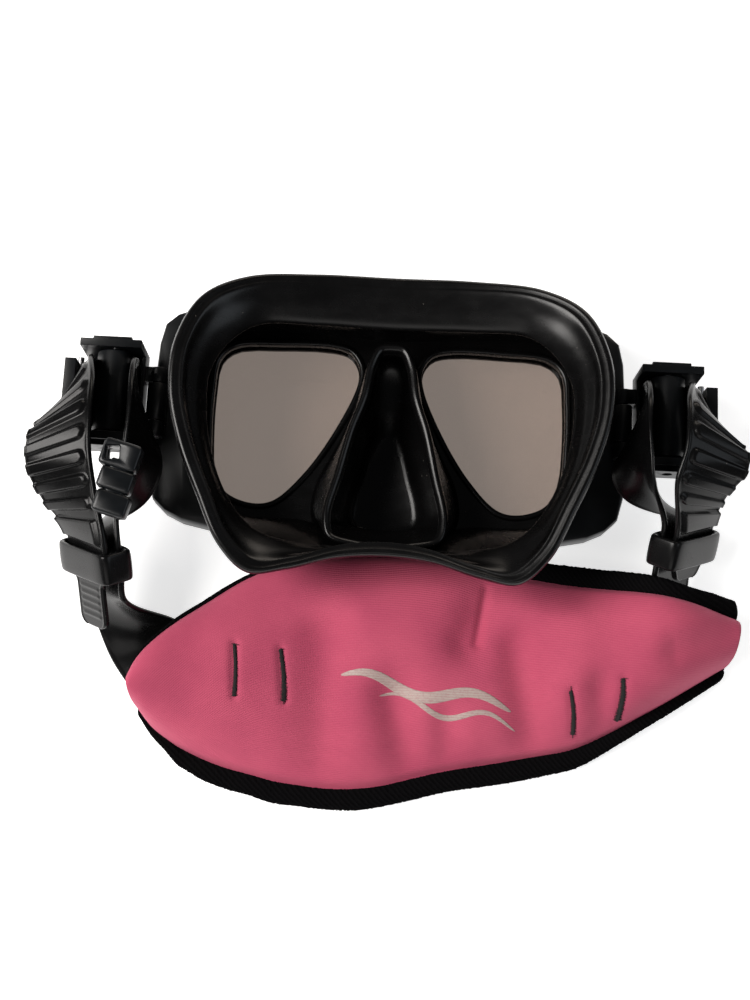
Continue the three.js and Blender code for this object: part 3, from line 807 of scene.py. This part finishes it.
def soft_rectangle(half_x, half_y, sharpness=0.32, count=96):
    """A rectangle with rounded corners."""
    x, y = superellipse(round_angles(count), sharpness, sharpness)
    return np.column_stack([half_x * x, half_y * y])


def make_keeper(name, side):
    """The moulded loop round both runs of the strap, thicker in the middle and soft at its mouths."""
    s = side["s"]
    centre, along, across, out = keeper_axes(side)
    half = KEEPER["length"] / 2
    wall = KEEPER["wall"]
    profile = [(0.0, -half + 1.2), (0.2, -half + 0.4), (0.8, -half), (wall - 0.3, -half + 0.3)]
    profile += [(wall, -half + 1.0), (wall, half - 1.0), (wall - 0.3, half - 0.3), (0.8, half)]
    profile += [(0.2, half - 0.4), (0.0, half - 1.2), (-0.15, 0.0)]
    rings = []
    for inset, distance in spline(profile, closed=True)(round_shares(44)):
        ring = soft_rectangle(KEEPER["wide"] / 2 - inset, KEEPER["deep"] / 2 - inset)
        place = centre + ring[:, :1] * across + ring[:, 1:] * out + along * distance
        rings.append(place * (s, 1, 1))
    loop = lofted(rings, around=True)
    add_piece("strap_keeper_" + name, loop, "keeper_" + name, "strap_silicone", "keeper_" + name)


def soft_block(centre, size, tilt=0.0, eye=None):
    """A moulded block with rounded edges, and a square eye through it where one is given."""
    width, depth, height = size
    turn = np.array([[math.cos(tilt), math.sin(tilt)], [-math.sin(tilt), math.cos(tilt)]])
    top = height / 2
    soft = min(0.9, min(size) / 3)
    half = [(soft, top), (soft / 3, top - soft / 3), (0.0, top - soft)]
    rows = [(inset, -z) for inset, z in half] + half[::-1]
    rings = []
    for inset, z in rows:
        ring = soft_rectangle(width / 2 - inset, depth / 2 - inset, 0.26)
        rings.append(with_height(ring @ turn, z))
    if eye:
        middle = np.array(eye) - centre[:2]
        for inset, z in rows[::-1]:
            reach = (SNORKEL["eye_size"] + inset) / 2
            rings.append(with_height(soft_rectangle(reach, reach, 0.2) + middle, z))
    points, faces = lofted(rings, around=bool(eye))
    return points + centre, faces


def make_snorkel_keeper():
    """Three stepped blocks joined by necks, on two legs that end just above the strap."""
    tilt = SNORKEL["tilt"]
    blocks = SNORKEL["blocks"]
    (first, first_size), *others = blocks
    parts = [soft_block(first, first_size, tilt, SNORKEL["eye"])]
    parts += [soft_block(middle, size, tilt) for middle, size in others]
    middles = [middle for middle, size in blocks]
    for above, below in zip(middles, middles[1:]):
        parts.append(soft_block((np.array(above) + below) / 2, SNORKEL["neck"], tilt))
    x, y, z = SNORKEL["legs"]
    for out in (-4.2, 4.2):
        parts.append(soft_block((x + out, y, z), SNORKEL["leg"]))
    add_piece("snorkel_clip", joined(parts), "snorkel_keeper", "keeper_plastic", "snorkel_keeper")


# ---------- strap cover
COVER_TOP = [(-88, -100.5), (-84.5, -93.5), (-76, -84), (-64, -74), (-46, -61.5), (-24, -54.8), (0, -52.6),
             (26, -54), (52, -58.4), (80, -62), (108, -66), (129, -71)]
COVER_BOTTOM = [(-86, -111.5), (-80, -118.5), (-70, -125), (-58, -130), (-42, -134), (-22, -137),
                (0, -136), (24, -129.5), (48, -124.5), (72, -119), (98, -105), (127, -87)]
COVER = {"low": 6, "rise": 4, "crown": 8.5, "lining": 1.5, "between": 0.9, "panel": 3, "hem": 3,
         "plump": 3.4}
STRAP_LIFTS = [(-84, 9, 17), (101, 16, 23)]  # x, height and reach of the strap's lift under the cover
# Soft valleys pressed into the panel: start, end, reach and depth.
VALLEYS = [
    ((14, -134), (6, -104), 8, 5.0),
    ((27, -130), (25, -112), 6, 3.0),
    ((41, -60), (32, -84), 8, 4.6),
    ((38, -64), (35, -84), 1.8, 1.4),
    ((49, -84), (56, -114), 8, 4.6),
    ((-19, -84), (-19, -126), 10, 4.0),
    ((79, -98), (82, -116), 6, 3.2),
    ((104, -84), (126, -78), 6, 3.0),
]
BULGES = [
    ((-56, -84), (-54, -104), 16, 3.4),
    ((70, -78), (70, -94), 11, 3.4),
    ((-6, -70), (10, -72), 18, 1.8),
]
STITCH_PULL = 0.9  # how deep a stitch line draws the panel in
STITCH_REACH = 1.7
cover_top = spline(COVER_TOP)
cover_bottom = spline(COVER_BOTTOM)


def from_segment(x, y, start, end):
    """Distance of points from a segment, in plan."""
    ax, ay = start
    dx, dy = end[0] - ax, end[1] - ay
    share = np.clip(((x - ax) * dx + (y - ay) * dy) / (dx * dx + dy * dy), 0, 1)
    return np.hypot(x - ax - share * dx, y - ay - share * dy)


def cover_underside(x, v):
    """Height under the lining: v runs from -1 at the lower edge to 1 at the upper."""
    within = np.maximum(v, -1)
    crown = COVER["crown"] * (1 - within**2)
    lift = sum(height * bell(x - at, reach) for at, height, reach in STRAP_LIFTS)
    return COVER["low"] + COVER["rise"] * within + crown + lift * (0.65 + 0.35 * within)


def cover_relief(x, y, v):
    """How far the panel's surface stands above or below the even crown."""
    inside = np.clip(1 - np.abs(v) ** 4, 0, 1)
    height = np.zeros_like(x)
    for start, end, reach, depth in VALLEYS:
        height -= depth * bell(from_segment(x, y, start, end), reach)
    for start, end, reach, depth in BULGES:
        height += depth * bell(from_segment(x, y, start, end), reach)
    for stitch in STITCHES.values():
        height -= STITCH_PULL * bell(from_segment(x, y, stitch["top"], stitch["foot"]), STITCH_REACH)
    return (height + COVER["plump"]) * inside


STITCHES = {
    "left_outer": {"top": (-50.8, -88.9), "foot": (-49.9, -106.9), "width": 0.55},
    "left_inner": {"top": (-34.7, -89.6), "foot": (-32.6, -107.5), "width": 0.75},
    "right_outer": {"top": (68.1, -99.6), "foot": (70.6, -114.0), "width": 0.6},
    "right_inner": {"top": (86.0, -94.6), "foot": (86.1, -108.4), "width": 0.9},
}


def cover_point(t, v):
    """Plan position on the cover at shares t along it and v across it."""
    top, bottom = cover_top(t), cover_bottom(t)
    share = ((v + 1) / 2)[:, None]
    return bottom * (1 - share) + top * share


def panel_top(x, y, v):
    """The panel's outer surface, rolled over towards its edges."""
    base = cover_underside(x, v) + COVER["lining"] + COVER["between"] + COVER["panel"]
    roll = 1.9 * bell(1 - np.abs(v), 0.05) + 1.3 * bell(1 + v, 0.22)
    return base + cover_relief(x, y, v) - roll


def sheet_rings(top_of, bottom_of, v_low, v_high, columns, rows):
    """Sections of a sheet between two height functions of x, y and v."""
    v = v_low + (v_high - v_low) * (1 - np.cos(np.linspace(0, np.pi, rows))) / 2
    rings = []
    for t in np.linspace(0, 1, columns):
        plan = cover_point(np.full(rows, t), v)
        x, y = plan[:, 0], plan[:, 1]
        upper = np.column_stack([x, y, top_of(x, y, v)])
        lower = np.column_stack([x, y, bottom_of(x, y, v)])[::-1]
        rings.append(np.vstack([upper, lower]))
    return rings


def flat_area(columns=200, rows=60):
    """The panel's cut area in square metres, measured along its surface."""
    t, v = np.meshgrid(np.linspace(0, 1, columns), np.linspace(-1, 1, rows), indexing="ij")
    plan = cover_point(t.ravel(), v.ravel())
    z = cover_underside(plan[:, 0], v.ravel())
    grid = np.column_stack([plan, z]).reshape(columns, rows, 3) * MM
    a = grid[1:, 1:] - grid[:-1, :-1]
    b = grid[1:, :-1] - grid[:-1, 1:]
    return float(np.linalg.norm(np.cross(a, b), axis=2).sum() / 2)


def make_cover_panel():
    def bottom(x, y, v):
        return cover_underside(x, v) + COVER["lining"] + 0.3 + cover_relief(x, y, v) * 0.3

    columns, rows = ((420, 150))
    rings = sheet_rings(panel_top, bottom, -1, 1, columns, rows)
    points, faces = lofted(rings)
    panel = piece("cover_face", points, faces, FINISHES["cover_jersey"])
    lay_out(panel, rings)
    soft_ends(panel)
    finish_piece(panel, "root", "cover_jersey", "cover_panel")
    flat_area()
    return panel


def lay_out(made, rings):
    """Gives a lofted sheet a map of distances in metres along its surface."""
    rings = np.asarray(rings) * MM
    steps = np.linalg.norm(np.diff(rings, axis=1), axis=2)
    around = np.concatenate([np.zeros((len(rings), 1)), np.cumsum(steps, axis=1)], axis=1)
    around -= around.mean(axis=1, keepdims=True)
    places = np.stack([rings[:, :, 0], around], axis=2).reshape(-1, 2)
    corners = np.empty(len(made.data.loops), int)
    made.data.loops.foreach_get("vertex_index", corners)
    made.data.uv_layers.new(name="cloth").data.foreach_set("uv", places[corners].ravel())


def soft_ends(panel):
    """Rounds the panel's cut ends by drawing its last millimetres down."""
    mesh = panel.data
    co = np.array([v.co for v in mesh.vertices]) / MM
    x = co[:, 0]
    reach, drop = 3.0, 1.6
    for end in (COVER_TOP[0][0], COVER_TOP[-1][0]):
        depth = np.clip(1 - np.abs(x - end) / reach, 0, 1)
        co[:, 2] -= drop * depth**3
    mesh.vertices.foreach_set("co", (co * MM).ravel())


def make_cover_lining():
    """The black jersey that backs the panel and shows as a hem below it."""
    usual_width = 78
    low = -1 - 2 * COVER["hem"] / usual_width

    def top(x, y, v):
        return cover_underside(x, v) + COVER["lining"]

    def bottom(x, y, v):
        return cover_underside(x, v)

    columns, rows = ((260, 60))
    shape = lofted(sheet_rings(top, bottom, low, 1, columns, rows))
    lining = add_piece("cover_back", shape, "root", "cover_lining", "cover_lining")
    area = flat_area() * 1.04  # a rounded allowance for the hem


def tape_rings(curve, side, width, thick, columns):
    """A binding rolled over an edge: a flat oval section that wanders a little."""
    wander = spline(rng.normal(0, 0.3, (24, 2)))
    across, deep = superellipse(round_angles(28), 0.6, 0.8)
    rings = []
    for t in np.linspace(0, 1, columns):
        x, y = curve(np.array([t]))[0]
        shift = wander(np.array([t]))[0]
        wide = width(x) / 2
        end = math.sqrt(max(0.05, 1 - (1 - min(min(t, 1 - t) / 0.008, 1)) ** 2))
        z = cover_underside(np.array([x]), np.array([float(side)]))[0] + 1.0 + (1.4 if side > 0 else 0)
        centre = y + side * (wide - 1.2) + shift[0]
        rough = 1 + rng.normal(0, 0.03, len(across))
        ring_y = centre + across * wide * end * rough
        ring_z = z + shift[1] * 0.5 + deep * thick * end * rough
        rings.append(np.column_stack([np.full(len(across), x), ring_y, ring_z]))
    return rings


def make_bindings():
    columns = 700

    def top_width(x):
        return 2.6 + 5.6 * float(smooth_step(x, -5, 75)) - 1.4 * float(bell(x - 110, 16))

    def bottom_width(x):
        grow = float(smooth_step(x, -86, -60) - 0.75 * smooth_step(x, 60, 126))
        return 3.6 + 4.8 * grow

    rows = [
        ("cover_binding_top", cover_top, 1, top_width, 2.3, "cover_edging_top"),
        ("cover_binding_bottom", cover_bottom, -1, bottom_width, 1.9, "cover_edging_bottom"),
    ]
    for name, curve, side, width, thick, node in rows:
        tape = lofted(tape_rings(curve, side, width, thick, columns))
        add_piece(name, tape, "root", "cover_edging", node)


def tube(path, radius, sides=8):
    """Rings round a path in millimetres."""
    path = np.asarray(path, float)
    along = unit(np.gradient(path, axis=0))
    up = np.tile([0.0, 0.0, 1.0], (len(path), 1))
    side = unit(np.cross(along, up) + (1e-9, 0, 0))
    top = np.cross(side, along)
    angles = round_angles(sides)
    return [
        p + radius * (np.cos(angles)[:, None] * a + np.sin(angles)[:, None] * b)
        for p, a, b in zip(path, side, top)
    ]


def on_panel(points, lift):
    """Plan points set on the panel's surface."""
    plan = np.asarray(points, float)
    shares = np.linspace(0, 1, 900)
    top, bottom = cover_top(shares), cover_bottom(shares)
    rib = top - bottom
    from_foot = plan[:, None, :] - bottom[None]
    beside = from_foot[..., 0] * rib[:, 1] - from_foot[..., 1] * rib[:, 0]
    nearest = np.argmin(np.abs(beside / np.linalg.norm(rib, axis=1)), axis=1)
    rows = np.arange(len(plan))
    v = 2 * np.sum(from_foot[rows, nearest] * rib[nearest], axis=1) / np.sum(rib[nearest] ** 2, axis=1) - 1
    return np.column_stack([plan, panel_top(plan[:, 0], plan[:, 1], v) + lift])


def make_stitch(name, row):
    """A bar tack: a dense zigzag of thread over a core, with a few loose ends."""
    start, end = np.array(row["top"]), np.array(row["foot"])
    along = unit(end - start)
    side = np.array([-along[1], along[0]])
    length = np.linalg.norm(end - start)
    turns = int(length / 0.5)
    shares = np.linspace(0, 1, turns * 4 + 1)
    swing = np.array([0.0, 1.0, 0.0, -1.0])[np.arange(len(shares)) % 4]
    bow = 0.5 * np.sin(shares * np.pi)
    width = row["width"] * (0.75 + 0.5 * shares) * rng.uniform(0.8, 1.2, len(shares))
    plan = start + along * (shares * length)[:, None] + side * (swing * width + bow)[:, None]
    height = 0.25 + 0.3 * (swing == 0)
    zigzag = on_panel(plan, height)
    core = on_panel(start + along * (shares * length)[:, None] + side * bow[:, None], 0.1)
    parts = [lofted(tube(core, 0.62)), lofted(tube(zigzag, 0.3))]
    for k in range(4):
        root = plan[0] if k % 2 == 0 else plan[-1]
        away = rng.normal(0, 1, 2)
        reach = np.linspace(0, 1, 7)
        curl = root + unit(away) * (reach * rng.uniform(0.8, 1.8))[:, None]
        parts.append(lofted(tube(on_panel(curl, 0.3 + 0.5 * reach * (1 - reach)), 0.13)))
    add_piece("tack_" + name, joined(parts), "root", "stitch_thread", "stitch_" + name)


def make_print():
    """A plain wave stroke in pale ink, with a thinner one under it."""
    parts = []
    for start_x, end_x, drop, width in ((-13, 48, 0.0, 4.0), (1, 50, 6.6, 2.0)):
        shares = np.linspace(0, 1, 160)
        x = start_x + (end_x - start_x) * shares
        y = -97.5 - 8.5 * shares - drop + 2.4 * np.sin(shares * 3.2 * np.pi)
        half = width / 2 * np.sin(np.pi * shares) ** 0.45
        slope = np.gradient(y, x)
        normal = unit(np.column_stack([-slope, np.ones_like(slope)]))
        plan = np.column_stack([x, y])
        rings = []
        across = np.linspace(-1, 1, 7)
        for p, n, h in zip(plan, normal, np.maximum(half, 0.02)):
            line = p + n * (across * h)[:, None]
            upper = on_panel(line, 0.09)
            lower = on_panel(line[::-1], -0.4)
            rings.append(np.vstack([upper, lower]))
        parts.append(lofted(rings))
    points, faces = joined(parts)
    finish_piece(piece("cover_print", points, faces, INK), "root", "cover_jersey")


LOOPS = {"left": (-43, -98, 41), "right": (77, -87.5, 37)}


def make_strap_loop(name, place):
    """A flat elastic loop under the cover, held by the tacks."""
    x, y, length = place
    middle, half_height = 4.6, 2.35
    flat_y, flat_z = superellipse(round_angles(96), 0.35, 0.6)
    rings = []
    # each point of the elastic's section: how far across it, and how far in from its outer face
    profile = [(-7, 0.25), (-6.7, 0.0), (6.7, 0.0), (7, 0.25)]
    profile += [(7, 0.7), (6.7, 0.95), (-6.7, 0.95), (-7, 0.7)]
    for across, shrink in profile:
        ring_y = y + flat_y * (length / 2 + 1 - shrink)
        ring_z = middle + flat_z * (half_height + 0.45 - shrink)
        rings.append(np.column_stack([np.full(len(flat_y), x + across), ring_y, ring_z]))
    loop = lofted(rings, around=True)
    add_piece("elastic_loop_" + name, loop, "root", "cover_edging", "strap_loop_" + name)


def make_cover():
    make_cover_lining()
    make_cover_panel()
    make_bindings()
    for name, row in STITCHES.items():
        make_stitch(name, row)
    make_print()
    for name, place in LOOPS.items():
        make_strap_loop(name, place)


# ---------- studio
def make_floor():
    size = 3.0
    mesh = bpy.data.meshes.new("floor")
    corners = [(-size, -size, 0), (size, -size, 0), (size, size, 0), (-size, size, 0)]
    mesh.from_pydata(corners, [], [(0, 1, 2, 3)])
    floor = bpy.data.objects.new("floor", mesh)
    scene.collection.objects.link(floor)
    paper = Finish("floor_paper", Roughness=0.9, Emission_Color=colour(1, 1, 1), Emission_Strength=0.72)
    tone = paper.noise(60, detail=2)
    paper.feed("Base Color", paper.mixed(tone, colour(0.86, 0.86, 0.86), colour(0.89, 0.89, 0.89)))
    mesh.materials.append(paper.material)


LIGHTS_MEET = (0.0, -0.08, 0.0)


def area_light(name, place, size, power, tint):
    light = bpy.data.lights.new(name, "AREA")
    light.shape = "RECTANGLE"
    light.size, light.size_y = size
    light.energy = power
    light.color = tint
    lamp = bpy.data.objects.new(name, light)
    lamp.location = place
    lamp.rotation_mode = "QUATERNION"
    lamp.rotation_quaternion = (Vector(LIGHTS_MEET) - Vector(place)).to_track_quat("-Z", "Y")
    scene.collection.objects.link(lamp)


def make_lights():
    warm, plain_white, cool = (1.0, 0.90, 0.80), (1.0, 0.97, 0.94), (0.86, 0.93, 1.0)
    area_light("key", (-0.86, -0.12, 0.96), (0.7, 0.7), 21.0, plain_white)
    area_light("rim", (0.25, 1.0, 0.5), (0.9, 0.22), 2.8, warm)
    area_light("fill_right", (0.95, -0.15, 0.75), (0.8, 0.5), 1.8, cool)
    area_light("front", (-0.1, -1.1, 0.75), (1.2, 0.5), 2.2, plain_white)
    world = bpy.data.worlds.new("studio")
    world.use_nodes = True
    background = world.node_tree.nodes["Background"]
    background.inputs["Color"].default_value = colour(0.95, 0.97, 1.0)
    background.inputs["Strength"].default_value = 0.06
    scene.world = world


def make_camera():
    """Above the mask, leaning 12 degrees from straight down, with a slight roll."""
    elevation, roll, distance = math.radians(78), math.radians(2.7), 548.0
    target = np.array([-3.8, -29.2, 0.0])
    view = np.array([0, math.cos(elevation), -math.sin(elevation)])
    upright = np.array([0, math.sin(elevation), math.cos(elevation)])
    sideways = np.array([1.0, 0, 0])
    right = sideways * math.cos(roll) + upright * math.sin(roll)
    up = -sideways * math.sin(roll) + upright * math.cos(roll)
    lens = bpy.data.cameras.new("camera")
    lens.sensor_fit = "VERTICAL"
    lens.sensor_height = 36
    lens.sensor_width = 36
    lens.lens = 52.2
    lens.clip_start = 0.01
    camera = bpy.data.objects.new("camera", lens)
    columns = Matrix([right, up, -view]).transposed().to_4x4()
    camera.matrix_world = Matrix.Translation(metres(target - view * distance)) @ columns
    scene.collection.objects.link(camera)
    scene.camera = camera


make_camera()
make_lights()
make_floor()
dress_cad_nodes()
make_skirt()
for side_name, side_row in SIDES.items():
    make_strap(side_name, side_row)
    make_keeper(side_name, side_row)
make_snorkel_keeper()
make_strap_back()
make_cover()
scene.view_settings.view_transform = "Standard"
